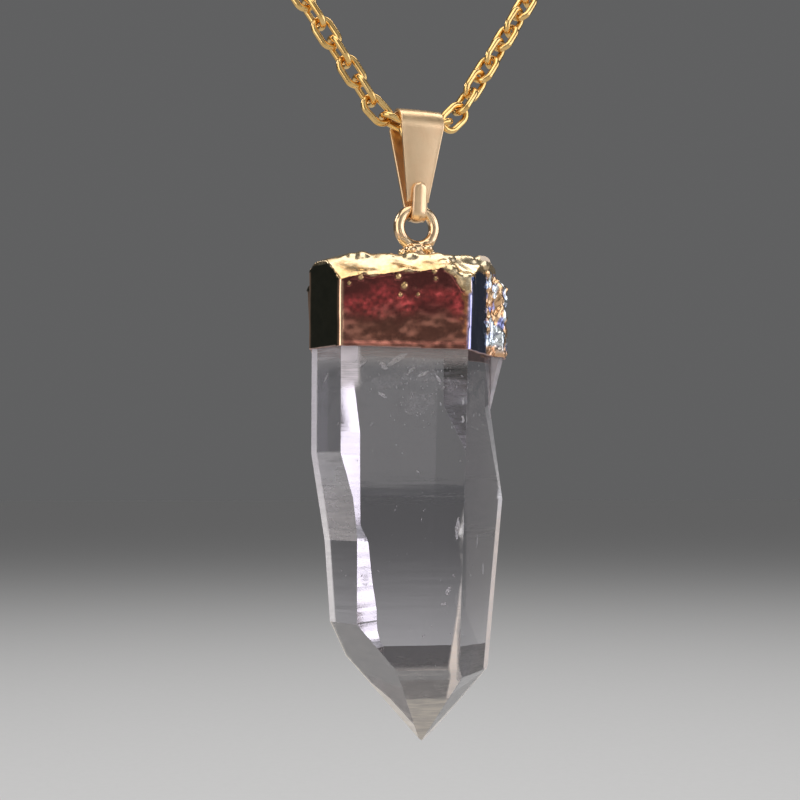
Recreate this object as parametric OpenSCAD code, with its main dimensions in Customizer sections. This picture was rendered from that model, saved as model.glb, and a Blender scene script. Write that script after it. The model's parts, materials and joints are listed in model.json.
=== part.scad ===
// Crystal point pendant on a cable chain: a natural quartz point in a plated metal cap,
// hung by a soldered eye from a folded strip bail. Millimetres, +Z up, the front faces -Y.
// The origin is the nape of the neck, where the closed loop of chain rests.

/* [Chain] */
// Length round the whole necklace, clasp included
chain_length = 449; // [400:1:600]
// Thickness of the link wire
link_wire = 0.7; // [0.6:0.05:0.8]
// Length of the hole in a link
link_hole_l = 2.52; // [2.4:0.02:2.7]
// Width of the hole in a link
link_hole_w = 1.2; // [1.1:0.05:1.4]
// Free play between one link and the next
link_play = 0.16; // [0.12:0.01:0.2]
// Angle of each strand from upright, where they part above the pendant
strand_angle = 33; // [28:1:38]
// Radius of the short bend that carries the bail
bend_r = 6; // [5.8:0.1:8]
// Angle of the loop from upright at the pendant
lean_start = 5; // [0:1:10]
// Radius of the chest and shoulders that the loop leans over
lean_r = 165; // [140:5:220]
// Turn of the links on the right strand
right_twist = 45; // [0:5:45]
// Links over which that turn comes in and goes out again
twist_links = 4; // [3:1:8]

/* [Clasp] */
// Length of the clasp between the bars that the end links hold
clasp_l = 9.6; // [8.5:0.1:12]
// Width of the clasp's hook
clasp_w = 4.6; // [4.2:0.1:5.2]
// Thickness of the clasp's bars
clasp_wire = 0.8; // [0.7:0.05:0.9]
// Diameter of the hole in the tail eye
clasp_eye = 1.5; // [1.4:0.1:1.8]
// Thickness of the clasp's belly
clasp_belly = 1.8; // [1.4:0.1:2.2]

/* [Bail] */
// Thickness of the strip
bail_sheet = 0.4; // [0.35:0.05:0.5]
// Width of the strip at its fold
bail_top_w = 4.7; // [4.2:0.1:4.8]
// Width of the strip where the front leaf ends
bail_low_w = 2.3; // [2:0.1:2.6]
// Width of the tongue that closes the bail
tongue_w = 1.6; // [1.3:0.1:1.6]
// Distance from the chain's centre down to the centre of the lower bend
bail_l = 8.7; // [8.5:0.1:9.5]
// Height of the front leaf's free end above the centre of the lower bend
leaf_lift = 0.95; // [0.9:0.05:1.4]
// Height of the tongue's top above the centre of the lower bend
tongue_h = 3.0; // [2.5:0.1:4]
// Gap between the tongue and the front leaf
leaf_gap = 0.06; // [0.05:0.01:0.1]
// Gap kept round whatever turns in the bail
bail_clear = 0.15; // [0.12:0.01:0.2]

/* [Eye] */
// Thickness of the eye's wire
eye_wire = 1.0; // [0.9:0.05:1.1]
// Diameter of the hole in the eye
eye_hole = 2.8; // [2.7:0.1:3.4]
// Distance from the eye's centre down to the top of the cap
eye_rise = 3.7; // [3.4:0.05:4.2]
// Width of the solder collar at the eye's foot
collar_w = 3.9; // [3.4:0.1:4.6]

/* [Cap] */
// Height of the cap
cap_h = 9.6; // [7:0.1:13]
// Thickness of the plating
cap_wall = 0.25; // [0.2:0.05:0.5]
// Gap between the plating and the stone
cap_gap = 0.04; // [0.03:0.01:0.1]
// Slope of the rim, lower on the right
rim_slope = 1; // [0:0.5:4]

/* [Crystal] */
// Length from the top of the cap to the tip
point_l = 48.1; // [42:0.1:58]
// Width of the stone from left to right
stone_w = 20; // [17:0.2:24]
// Depth of the stone from front to back
stone_d = 13.6; // [12:0.1:17]
// Turn of the stone about its length, against the eye
stone_turn = -12; // [-25:1:10]
// Slope of the point's facets from upright
facet_slope = 38.2; // [34:0.2:42]
// Width of the small crystal grown on the right side
side_w = 1.75; // [1.4:0.05:2.2]
// Distance from the top of the cap down to the small crystal's top
side_drop = 1.75; // [1:0.05:3]

/* [Hidden] */
$fn = 32;
GOLD = "#caa04c";
ROSE = "#b5684a";
CLEAR = "#d9dbe6";
// Radians in a degree
RAD = PI / 180;
// Longer than anything that it cuts
BIG = 160;

// Chain: where the links lie along one half of the loop
pitch_wanted = link_hole_l - link_play;
strand_turn = 90 - strand_angle;
half_length = chain_length / 2;
loop_r = (half_length + bend_r * (tan(strand_turn) - strand_turn * RAD))
    / (tan(strand_turn) + PI - strand_turn * RAD);
bend_l = bend_r * strand_turn * RAD;
strand_l = (loop_r - bend_r) * tan(strand_turn);
loop_v = bend_r * (1 - cos(strand_turn)) + strand_l * sin(strand_turn) + loop_r * cos(strand_turn);
end_seat = link_hole_l / 2 - clasp_wire / 2 - link_play;
links_l = half_length - clasp_l / 2 - end_seat;
half_links = ceil(links_l / pitch_wanted);
pitch = links_l / half_links;

function lean(v) = lean_start + v / lean_r / RAD;
function on_chest(u, v) = [
    u,
    lean_r * (cos(lean_start) - cos(lean(v))),
    lean_r * (sin(lean(v)) - sin(lean_start))
];
// One half of the flat loop: across, up and the direction at a length from the lowest point
function route(s) =
    s < bend_l ?
        let (t = s / bend_r / RAD) [bend_r * sin(t), bend_r * (1 - cos(t)), t] :
    s < bend_l + strand_l ?
        let (q = s - bend_l) [
            bend_r * sin(strand_turn) + q * cos(strand_turn),
            bend_r * (1 - cos(strand_turn)) + q * sin(strand_turn),
            strand_turn
        ] :
        let (t = strand_turn + (s - bend_l - strand_l) / loop_r / RAD)
            [loop_r * sin(t), loop_v - loop_r * cos(t), t];

// A link's middle and direction. Where the loop bends, links in its plane lie a little outside
// it and those across it a little inside, so that each bar stays in the middle of its neighbour's end
function link_mid(i) =
    let (
        p = route(i * pitch),
        turn = (route((i + 1) * pitch)[2] - route((i - 1) * pitch)[2]) / 2,
        out = (i % 2 == 0 ? 1 : -1) * (link_hole_l + link_wire - pitch) / 4 * sin(turn)
    )
        [p[0] + out * sin(p[2]), p[1] - out * cos(p[2]), p[2]];

nape = on_chest(0, loop_v + loop_r);
lowest = -nape;

// Bail: the fold clears the first links beside the middle one, which rise with the bend
first = link_mid(1);
rise_in_fold = first[1] + (bail_top_w / 2 - first[0]) * tan(first[2]);
fold_r = norm([(link_hole_w + link_wire) / 2, rise_in_fold]) + link_wire / 2 + bail_clear;
fold_mid = fold_r + bail_sheet / 2;
low_mid = eye_wire / 2 + bail_clear + bail_sheet / 2;
low_at = [0, -bail_l];
leaf_end = [-bail_clear - bail_sheet / 2, -bail_l + leaf_lift];
eye_r = (eye_hole + eye_wire) / 2;
eye_lift = bail_clear + 0.1;
eye_z = -bail_l + eye_lift - eye_r;

// A point seen from a circle's centre: where the line from the point touches the circle
function touch(centre, r, p, side) =
    let (d = p - centre, a = atan2(d[1], d[0]) + side * acos(r / norm(d)))
        centre + r * [cos(a), sin(a)];
function unit(v) = v / norm(v);
function angle(v) = atan2(v[1], v[0]);

fold_front = touch([0, 0], fold_mid, leaf_end, -1);
back_turn = asin((fold_mid - low_mid) / bail_l);
fold_back = fold_mid * [cos(back_turn), -sin(back_turn)];
low_back = low_at + low_mid * unit(fold_back);
// The front leaf's middle line at a height, and the tongue's top before it
function leaf_at(z) = leaf_end + (fold_front - leaf_end) * (z - leaf_end[1]) / (fold_front[1] - leaf_end[1]);
tongue_top = leaf_at(-bail_l + tongue_h) + unit(fold_front) * (bail_sheet + leaf_gap);
low_front = touch(low_at, low_mid, tongue_top, 1);

// Stone: prism faces and growth layers. Each row is a plane that bounds the stone:
// the way it faces (0 is the front, 90 the right), its distance from the eye's axis as a share
// of stone_w (front and back faces: of stone_d), its slope (above 0 narrows downwards) and
// the depth below the cap's top where it has that distance, as a share of point_l.
// Faces that every layer shares
SHARED_FACES = [
    [0, 0.529, 0, 0.2],
    [60, 0.354, 1.5, 0.19],
    [180, 0.471, 0, 0.2]
];
CORE_FACES = [
    [120, 0.293, 0, 0.3],
    [240, 0.355, 0, 0.3],
    [240, 0.355, 6.1, 0.588],
    [300, 0.478, 0, 0.6]
];
// Layer on the upper left, ending in a striped slope
LEFT_FACES = [
    [120, 0.293, 0, 0.3],
    [240, 0.405, 0, 0.3],
    [240, 0.405, 6.7, 0.412],
    [300, 0.548, 0, 0.3],
    [300, 0.548, 9.4, 0.412]
];
// Layer low on the right back, widest at half height
RIGHT_FACES = [
    [120, 0.5, -23, 0.505],
    [120, 0.5, 11.6, 0.505],
    [240, 0.347, 6.1, 0.588],
    [300, 0.47, 0, 0.6]
];
// Broken top, hidden by the cap: the way each plane faces, its distance from the eye's axis as
// a share of stone_w, its slope (-90 is flat) and its depth there as a share of point_l
TOP_FACES = [
    [0, 0, -89, 0],
    [-6, 0.352, -44, 0.035],
    [20, 0.355, -40, 0.03],
    [-58, 0.548, -70, 0.018],
    [80, 0.43, -62, 0.02],
    [170, 0.31, -60, 0.03],
    [235, 0.37, -50, 0.03]
];
// Point: the way each facet faces, its distance from the tip as a share of stone_w and how much
// its slope differs from facet_slope
TIP_FACES = [
    [0, 0, 0],
    [60, 0, 0],
    [120, 0.07, 0],
    [180, 0.04, 0],
    [240, 0.02, 0],
    [300, 0.02, -1.5]
];
// Tip, across as a share of stone_w and back as a share of stone_d
TIP_AT = [0.021, -0.099];
// Small crystal: its axis, as shares of stone_w and stone_d, and its planes, whose distances are
// shares of side_w and whose depths are shares of point_l
SIDE_AT = [0.398, -0.022];
SIDE_FACES = [
    [0, 0.52, 0, 0.2],
    [60, 0.5, 0, 0.2],
    [60, 0.5, 12, 0.2],
    [120, 0.62, 0, 0.2],
    [120, 0.62, 14, 0.2],
    [180, 1.1, 8, 0.2],
    [240, 0.8, 0, 0.2],
    [300, 0.46, 0, 0.2],
    [15, 0, -72, 0],
    [70, 0.3, -45, 0.008],
    [150, 0.5, -50, 0.015]
];

// What lies behind a plane, moved outwards by grow
module behind(azimuth, reach, slope, z, grow) {
    rotate([0, 0, azimuth])
        translate([0, -reach, z])
            rotate([slope, 0, 0])
                translate([-BIG / 2, -grow, -BIG / 2])
                    cube(BIG);
}

module prism(rows, grow) {
    intersection_for (row = rows)
        behind(
            row[0],
            row[1] * (row[0] % 180 == 0 ? stone_d : stone_w),
            row[2],
            -row[3] * point_l,
            grow
        );
}

module broken_top(grow) {
    intersection_for (row = TOP_FACES)
        behind(row[0], row[1] * stone_w, row[2], -row[3] * point_l - cap_wall - cap_gap, grow);
}

module tip(grow) {
    translate([TIP_AT[0] * stone_w, TIP_AT[1] * stone_d, 0])
        intersection_for (row = TIP_FACES)
            behind(row[0], row[1] * stone_w, facet_slope + row[2], -point_l, grow);
}

module side_stone(grow) {
    top = -side_drop - cap_wall - cap_gap;
    translate([SIDE_AT[0] * stone_w, SIDE_AT[1] * stone_d, 0])
        intersection_for (row = SIDE_FACES)
            behind(row[0], row[1] * side_w, row[2], row[2] < -20 ? top - row[3] * point_l : -row[3] * point_l, grow);
}

// The stone, with its cap's top at height 0 and the eye's axis through the origin
module stone(grow) {
    intersection() {
        prism(SHARED_FACES, grow);
        broken_top(grow);
        tip(grow);
        union() {
            prism(CORE_FACES, grow);
            prism(LEFT_FACES, grow);
            prism(RIGHT_FACES, grow);
        }
    }
    side_stone(grow);
}

module at_lowest() {
    translate(lowest) children();
}

module at_eye() {
    at_lowest() translate([0, 0, eye_z]) children();
}

module crystal() {
    color(CLEAR, 0.6)
        at_eye() translate([0, 0, -eye_rise]) rotate([0, 0, stone_turn])
            stone(0);
}

module eye() {
    rotate([90, 0, 0])
        rotate_extrude()
            translate([eye_r, 0]) circle(d = eye_wire);
    collar_top = -eye_hole / 2 + bail_clear;
    translate([0, 0, -eye_rise - cap_wall / 2])
        cylinder(d1 = collar_w + cap_wall, d2 = collar_w - cap_wall, h = eye_rise + cap_wall / 2 + collar_top);
}

module cap() {
    color(ROSE) at_eye() {
        translate([0, 0, -eye_rise]) rotate([0, 0, stone_turn])
            difference() {
                intersection() {
                    stone(cap_gap + cap_wall);
                    translate([0, 0, -cap_h]) rotate([0, rim_slope, 0])
                        translate([-BIG / 2, -BIG / 2, 0]) cube(BIG);
                }
                stone(cap_gap);
            }
        eye();
    }
}

// An arc's points, counted so that each step turns about 6 degrees
function arc(centre, r, from, to) =
    let (steps = ceil((to - from) / 6))
        [for (i = [0 : steps]) let (t = from + (to - from) * i / steps) centre + r * [cos(t), sin(t)]];
// One face of the folded strip, from the tongue round the lower bend and the fold to the front leaf
function strip_side(shift) = concat(
    [tongue_top + shift * unit(low_front - low_at)],
    arc(low_at, low_mid + shift, angle(low_front - low_at), angle(low_back - low_at)),
    arc([0, 0], fold_mid + shift, angle(fold_back), 360 + angle(fold_front)),
    [leaf_end + shift * unit(fold_front)]
);
function reversed(points) = [for (i = [len(points) - 1 : -1 : 0]) points[i]];

// The bail's side view is drawn across and up, and stands in the plane of Y and Z
module side_view(width) {
    rotate([90, 0, 90]) translate([0, 0, -width / 2]) linear_extrude(width) children();
}

module front_view() {
    rotate([90, 0, 0]) translate([0, 0, -BIG / 2]) linear_extrude(BIG) children();
}

module bail() {
    color(GOLD) at_lowest()
        intersection() {
            side_view(bail_top_w)
                polygon(concat(strip_side(bail_sheet / 2), reversed(strip_side(-bail_sheet / 2))));
            union() {
                intersection() {
                    front_view() taper();
                    side_view(BIG) behind_tongue();
                }
                front_view() tongue_outline();
            }
        }
}

// Front outline of the two leaves
module taper() {
    top = fold_mid + bail_sheet;
    low = low_back[1];
    low_half = bail_top_w / 2 - (bail_top_w - bail_low_w) / 2 * low / leaf_end[1];
    polygon([
        [-bail_top_w / 2, top], [-bail_top_w / 2, 0], [-low_half, low],
        [low_half, low], [bail_top_w / 2, 0], [bail_top_w / 2, top]
    ]);
}

// All of the side view but the tongue, parted from it along the gap before the front leaf
module behind_tongue() {
    part = unit(fold_front) * (bail_sheet + leaf_gap) / 2;
    top = tongue_top[1] + bail_sheet;
    polygon([
        [-BIG, top], leaf_at(top) + part, leaf_at(low_back[1]) + part,
        [BIG, low_back[1]], [BIG, BIG], [-BIG, BIG]
    ]);
}

module tongue_outline() {
    round_z = tongue_top[1] - tongue_w / 2 + bail_sheet / 2;
    low_z = low_at[1] - 2 * low_mid;
    translate([0, round_z]) circle(d = tongue_w);
    translate([-tongue_w / 2, low_z]) square([tongue_w, round_z - low_z]);
}

// An oval of round wire in the plane of X and Z, given by the size of its hole
module oval(hole_l, hole_w, wire) {
    r = (hole_w + wire) / 2;
    run = hole_l - hole_w;
    rotate([90, 0, 0])
        for (end = [1, -1]) {
            translate([end * run / 2, 0, 0]) rotate([0, 0, -90 * end])
                rotate_extrude(angle = 180) translate([r, 0]) circle(d = wire);
            translate([0, end * r, 0]) rotate([0, 90, 0])
                cylinder(d = wire, h = run, center = true);
        }
}

// One link at its place on the right half of the loop, odd ones turned a quarter
module link_at(i, twist) {
    p = link_mid(i);
    translate(on_chest(p[0], p[1]))
        rotate([-lean(p[1]), 0, 0]) rotate([0, -p[2], 0]) rotate([90 * (i % 2) + twist, 0, 0])
            oval(link_hole_l, link_hole_w, link_wire);
}

module chain_right() {
    color(GOLD) at_lowest()
        for (i = [0 : half_links])
            link_at(i, right_twist * min(twist_links, max(0, i - 1), half_links - i) / twist_links);
}

module chain_left() {
    color(GOLD) at_lowest() mirror([1, 0, 0])
        for (i = [1 : half_links])
            link_at(i, 0);
}

// The clasp lies along X at the nape, its tail eye on the right
module clasp() {
    tail_r = (clasp_eye + clasp_wire) / 2;
    hook_hole_w = clasp_w - 2 * clasp_wire;
    hook_hole_l = clasp_l - 2 * tail_r - clasp_wire;
    hook_x = -clasp_l / 2 + hook_hole_l / 2 + clasp_wire / 2;
    belly_r = (hook_hole_w + clasp_wire) / 2;
    color(GOLD) rotate([-lean(loop_v + loop_r), 0, 0]) {
        translate([clasp_l / 2 - tail_r, 0, 0]) rotate([90, 0, 0])
            rotate_extrude() translate([tail_r, 0]) circle(d = clasp_wire);
        translate([hook_x, 0, 0]) oval(hook_hole_l, hook_hole_w, clasp_wire);
        translate([clasp_l / 2 - 2 * tail_r - belly_r, 0, 0]) rotate([90, 0, 0])
            cylinder(r = belly_r, h = clasp_belly, center = true);
    }
}

crystal();
cap();
bail();
chain_left();
chain_right();
clasp();
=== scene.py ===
"""Crystal point pendant: the looks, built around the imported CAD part. All lengths are in metres,
in the CAD's own frame, unless a name ends in _MM or a comment says mm."""

import json
import math
import random

import bmesh
import bpy
import numpy as np
from mathutils import Matrix, Vector, noise
from mathutils.bvhtree import BVHTree
from mathutils.kdtree import KDTree

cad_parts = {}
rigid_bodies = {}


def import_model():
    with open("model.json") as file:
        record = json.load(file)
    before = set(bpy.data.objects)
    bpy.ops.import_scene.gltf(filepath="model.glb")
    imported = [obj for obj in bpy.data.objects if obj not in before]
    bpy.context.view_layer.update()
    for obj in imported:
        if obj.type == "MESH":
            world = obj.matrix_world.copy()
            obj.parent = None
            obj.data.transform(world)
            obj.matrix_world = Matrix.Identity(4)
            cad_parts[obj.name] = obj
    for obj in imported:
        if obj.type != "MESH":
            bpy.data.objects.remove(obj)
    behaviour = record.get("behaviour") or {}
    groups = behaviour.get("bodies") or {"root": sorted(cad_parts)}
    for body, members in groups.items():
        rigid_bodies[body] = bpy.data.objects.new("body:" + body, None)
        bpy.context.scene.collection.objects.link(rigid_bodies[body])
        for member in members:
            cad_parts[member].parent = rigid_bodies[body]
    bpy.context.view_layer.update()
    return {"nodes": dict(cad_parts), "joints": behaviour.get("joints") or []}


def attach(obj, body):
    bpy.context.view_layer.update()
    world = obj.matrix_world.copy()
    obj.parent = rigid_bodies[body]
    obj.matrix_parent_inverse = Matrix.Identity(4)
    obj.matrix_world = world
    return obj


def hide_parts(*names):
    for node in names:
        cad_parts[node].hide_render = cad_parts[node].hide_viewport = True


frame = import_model()
NODES = frame["nodes"]
MM = 0.001
JOINTS = {joint["name"]: Vector(joint["pos_m"]) for joint in frame["joints"]}
LOW = JOINTS["bail_swing"]
RING = JOINTS["drop_swing"]

# Camera, worked out from the photograph: 20 degrees left of the front and 4 below
AZIMUTH = math.radians(-20)
ELEVATION = math.radians(-4)
DISTANCE = 0.140
PIXELS_PER_M = 9660
RING_PIXEL = (416.5, 228.0)
PICTURE_PIXELS = 800
SENSOR_MM = 36


def way_at(azimuth, elevation):
    """A unit vector. Azimuth runs from the front to the right, both in radians."""
    level = math.cos(elevation)
    return Vector((math.sin(azimuth) * level, -math.cos(azimuth) * level, math.sin(elevation)))


def make_camera():
    right = way_at(AZIMUTH + math.pi / 2, 0)
    forward = -way_at(AZIMUTH, ELEVATION)
    up = right.cross(forward)
    across = (RING_PIXEL[0] - PICTURE_PIXELS / 2) / PIXELS_PER_M
    above = (PICTURE_PIXELS / 2 - RING_PIXEL[1]) / PIXELS_PER_M
    data = bpy.data.cameras.new("camera")
    data.lens = SENSOR_MM * PIXELS_PER_M * DISTANCE / PICTURE_PIXELS
    data.sensor_width = SENSOR_MM
    data.clip_start = 0.002
    data.clip_end = 50
    camera = new_object("camera", data)
    camera.matrix_world = Matrix((right, up, -forward)).transposed().to_4x4()
    camera.location = RING - forward * DISTANCE - right * across - up * above
    bpy.context.scene.camera = camera


# Materials

class Nodes:
    """Short ways to add nodes to a tree."""

    def __init__(self, tree):
        self.tree = tree

    def feed(self, socket, value):
        """Links a socket to what feeds it, or sets its value. A colour may leave out its alpha."""
        if isinstance(value, bpy.types.NodeSocket):
            self.tree.links.new(value, socket)
        elif isinstance(value, tuple) and len(value) == 3 and len(socket.default_value) == 4:
            socket.default_value = (*value, 1)
        else:
            socket.default_value = value

    def add(self, kind, inputs=None, **settings):
        node = self.tree.nodes.new(kind)
        for key, value in settings.items():
            setattr(node, key, value)
        for key, value in (inputs or {}).items():
            self.feed(node.inputs[key], value)
        return node

    def math(self, operation, a, b=0.0, clamp=False):
        return self.add("ShaderNodeMath", {0: a, 1: b}, operation=operation, use_clamp=clamp).outputs[0]

    def times(self, a, b):
        return self.math("MULTIPLY", a, b)

    def line(self, a, factor, plus, clamp=False):
        return self.math("ADD", self.times(a, factor), plus, clamp)


class Shader(Nodes):
    """A Principled material and what feeds it."""

    def __init__(self, name, **values):
        self.material = bpy.data.materials.new(name)
        self.material.use_nodes = True
        super().__init__(self.material.node_tree)
        self.bsdf = self.tree.nodes["Principled BSDF"]
        for key, value in values.items():
            self.put(key, value)
        self.place = self.add("ShaderNodeTexCoord").outputs["Object"]

    def put(self, key, value):
        self.feed(self.bsdf.inputs[key.replace("_", " ")], value)

    def scaled(self, x, y, z):
        return self.add("ShaderNodeMapping", {"Vector": self.place, "Scale": (x, y, z)}).outputs[0]

    def noise(self, scale, detail=4, rough=0.55, vector=None, distortion=0):
        return self.add("ShaderNodeTexNoise", {
            "Vector": vector or self.place, "Scale": scale, "Detail": detail,
            "Roughness": rough, "Distortion": distortion,
        }).outputs["Fac"]

    def ramp(self, fac, stops):
        node = self.add("ShaderNodeValToRGB", {"Fac": fac})
        ramp = node.color_ramp
        while len(ramp.elements) < len(stops):
            ramp.elements.new(0.5)
        for element, (at, colour) in zip(ramp.elements, stops):
            element.position = at
            if not isinstance(colour, tuple):
                colour = (colour,) * 3
            element.color = (*colour, 1)
        return node.outputs["Color"]

    def mix(self, fac, a, b, how="MIX"):
        return self.add("ShaderNodeMix", {0: fac, 6: a, 7: b}, data_type="RGBA", blend_type=how).outputs[2]

    def attribute(self, name, output="Fac"):
        return self.add("ShaderNodeAttribute", attribute_name=name).outputs[output]

    def bump(self, height, distance, strength=1.0, normal=None):
        inputs = {"Height": height, "Distance": distance, "Strength": strength}
        if normal:
            inputs["Normal"] = normal
        socket = self.add("ShaderNodeBump", inputs).outputs["Normal"]
        self.put("Normal", socket)
        return socket


def clamped(t):
    return max(0.0, min(1.0, t))


def new_object(name, data):
    piece = bpy.data.objects.new(name, data)
    bpy.context.scene.collection.objects.link(piece)
    return piece


def object_from(name, work):
    """A new object with the bmesh's shape, which is freed."""
    mesh = bpy.data.meshes.new(name)
    work.to_mesh(mesh)
    work.free()
    return new_object(name, mesh)


def mesh_from(name, points, faces, smooth=True):
    mesh = bpy.data.meshes.new(name)
    mesh.from_pydata([tuple(p) for p in points], [], [tuple(f) for f in faces])
    mesh.validate()
    if smooth:
        mesh.shade_smooth()
    return mesh


def finish_piece(piece, material, body, nodes=()):
    piece.data.materials.clear()
    piece.data.materials.append(material)
    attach(piece, body)
    if nodes:
        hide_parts(*nodes)


def turns(count):
    """Even steps round a circle."""
    return [2 * math.pi * k / count for k in range(count)]


def tube_faces(rings, count, base=0, closed=True):
    """The faces between rings of points that follow each other from the base point on."""
    faces = []
    for i in range(rings if closed else rings - 1):
        near, far = base + i * count, base + (i + 1) % rings * count
        for k in range(count):
            after = (k + 1) % count
            faces.append((near + k, far + k, far + after, near + after))
    return faces


def turn_outwards(mesh):
    work = bmesh.new()
    work.from_mesh(mesh)
    bmesh.ops.recalc_face_normals(work, faces=work.faces)
    work.to_mesh(mesh)
    work.free()


def welded(mesh):
    """The mesh as a bmesh, with doubled points joined."""
    work = bmesh.new()
    work.from_mesh(mesh)
    bmesh.ops.remove_doubles(work, verts=work.verts, dist=2e-7)
    return work


def melt(piece, voxel_mm):
    """Joins all that touches in a piece into one soft skin."""
    remesh = piece.modifiers.new("remesh", "REMESH")
    remesh.mode = "VOXEL"
    remesh.voxel_size = voxel_mm * MM
    smooth = piece.modifiers.new("smooth", "SMOOTH")
    smooth.factor = 0.5
    smooth.iterations = 10
    bpy.context.view_layer.update()
    evaluated = piece.evaluated_get(bpy.context.evaluated_depsgraph_get())
    mesh = bpy.data.meshes.new_from_object(evaluated)
    piece.modifiers.clear()
    piece.data = mesh


# Chain: one smooth link, laid on every link of the CAD nodes

LINK_ALONG = 36
LINK_ROUND = 14
SWELL = 0.02
FACE_PRESS = 0.05
SIDE_PRESS = 0.03
WIRE_SHARE = 0.995


def link_places(node):
    """For each loose link: its middle, long axis, normal and half lengths along them."""
    work = welded(NODES[node].data)
    seen = set()
    places = []
    for start in work.verts:
        if start.index in seen:
            continue
        stack, group = [start], []
        seen.add(start.index)
        while stack:
            vert = stack.pop()
            group.append(vert.co)
            for edge in vert.link_edges:
                other = edge.other_vert(vert)
                if other.index not in seen:
                    seen.add(other.index)
                    stack.append(other)
        points = np.array([tuple(co) for co in group])
        # the surface's points lie unevenly, so the middle comes from the box in the link's own axes
        middle = points.mean(0)
        axes = np.linalg.svd(points - middle, full_matrices=False)[2]
        local = (points - middle) @ axes.T
        low, high = local.min(0), local.max(0)
        middle = middle + (low + high) / 2 @ axes
        places.append((middle, axes, (high - low) / 2))
    work.free()
    return places


def build_chain(node, seed):
    rng = random.Random(seed)
    points, faces = [], []
    for middle, axes, half in link_places(node):
        base = len(points)
        wire = half[2]
        end_r = half[1] - wire
        run = half[0] - half[1]
        seam = rng.random() * 0.6 + 0.2
        # two half circles, with the straight sides between them
        stations = []
        for end in (1, -1):
            for t in np.linspace(-end * math.pi / 2, (1 - end / 2) * math.pi, LINK_ALONG // 2):
                nx, ny = math.cos(t), math.sin(t)
                stations.append((end * run + end_r * nx, end_r * ny, nx, ny))
        for s, (x, y, nx, ny) in enumerate(stations):
            swell = 1 + SWELL * math.sin(6.28 * (s / LINK_ALONG + seam))
            for a in turns(LINK_ROUND):
                out, rise = math.cos(a), math.sin(a)
                # pressed a little flat on the faces and the outside, as rolled wire is
                flat = 1 - FACE_PRESS * abs(rise) ** 6 - SIDE_PRESS * max(0, out) ** 6
                r = wire * swell * flat * WIRE_SHARE
                local = np.array([x + nx * out * r, y + ny * out * r, rise * r])
                points.append(middle + local @ axes)
        faces += tube_faces(LINK_ALONG, LINK_ROUND, base)
    mesh = mesh_from(node + "_links", points, faces)
    # the links' own axes turn either way
    turn_outwards(mesh)
    return new_object(node + "_links", mesh)


# Bail: one strip with rounded edges, swept along the folded line of the CAD's bail. Its side view
# is drawn across the leaves and up, in mm from the middle of the fold.

SHEET_MM = 0.4
FOLD_MM = 1.80714
BEND_MM = 0.85
BEND_MIDDLE = np.array([0, -8.7])
LEAF_END = np.array([-0.35, -7.75])
LEAF_GAP_MM = 0.06
TONGUE_UP_MM = 3.0
TONGUE_HALF_MM = 0.8
TOP_HALF_MM = 2.35
TAPER = 1.2 / 7.75
EDGE_MM = 0.13
TONGUE_CROWN_MM = 0.16
LEAF_CROWN_MM = 0.045


def length_of(way):
    return np.linalg.norm(way)


def round_point(centre, radius, turn):
    return centre + radius * np.array([math.cos(turn), math.sin(turn)])


def touch(centre, radius, point, side):
    """The turn at which a line from the point touches a circle."""
    across, up = point - centre
    return math.atan2(up, across) + side * math.acos(radius / length_of(point - centre))


def bail_line():
    """Stations along the strip: point, the way out and half width. Then the tongue's last station."""
    fold_middle = np.zeros(2)
    front_turn = touch(fold_middle, FOLD_MM, LEAF_END, -1)
    fold_front = round_point(fold_middle, FOLD_MM, front_turn)
    back_turn = -math.asin((FOLD_MM - BEND_MM) / length_of(BEND_MIDDLE))
    fold_back = round_point(fold_middle, FOLD_MM, back_turn)
    bend_back = round_point(BEND_MIDDLE, BEND_MM, back_turn)
    leaf = (fold_front - LEAF_END) / (fold_front[1] - LEAF_END[1])
    beside = LEAF_END + leaf * (BEND_MIDDLE[1] + TONGUE_UP_MM - LEAF_END[1])
    tongue_top = beside + fold_front / FOLD_MM * (SHEET_MM + LEAF_GAP_MM)
    low_turn = touch(BEND_MIDDLE, BEND_MM, tongue_top, 1)

    def arc(centre, radius, start, end, steps):
        return [round_point(centre, radius, t) for t in np.linspace(start, end, steps)]

    def along(a, b, steps):
        return [a + (b - a) * t for t in np.linspace(0, 1, steps)]

    tongue = along(tongue_top, round_point(BEND_MIDDLE, BEND_MM, low_turn), 16)
    line = tongue + arc(BEND_MIDDLE, BEND_MM, low_turn, back_turn + 2 * math.pi, 20)[1:]
    split = len(line) - 1
    line += along(bend_back, fold_back, 24)[1:]
    line += arc(fold_middle, FOLD_MM, back_turn, front_turn + 2 * math.pi, 32)[1:]
    line += along(fold_front, LEAF_END, 22)[1:]
    stations = []
    for i, p in enumerate(line):
        before, after = line[max(0, i - 1)], line[min(len(line) - 1, i + 1)]
        way = (after - before) / length_of(after - before)
        half = TONGUE_HALF_MM
        done = length_of(p - line[0]) + 0.02
        if i > split:
            taper = TOP_HALF_MM - TAPER * max(0.0, -p[1])
            half += (taper - half) * clamped((p[1] - bend_back[1]) / 0.5) ** 0.8
        elif i < len(tongue) and done < half:
            half = math.sqrt(half ** 2 - (half - done) ** 2)
        stations.append((p, np.array([way[1], -way[0]]), half))
    return stations, split


def strip_ring(half, thick, crown):
    """The strip's outline: a crowned outer face, a rounded edge, the inner face and the other edge."""
    r = min(EDGE_MM, thick, half * 0.9)
    flat = half - r
    across = np.linspace(-1, 1, 13)
    edge = []
    for degrees in (60, 30, 0, -30, -60):
        t = math.radians(degrees)
        edge.append((flat + r * math.cos(t), (thick - r) * np.sign(t) + r * math.sin(t)))
    outer = [(x * flat, thick + crown * (0.5 - x * x)) for x in across]
    inner = [(x * flat, -thick) for x in across[::-1]]
    return outer + edge + inner + [(-x, y) for x, y in edge[::-1]]


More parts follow.
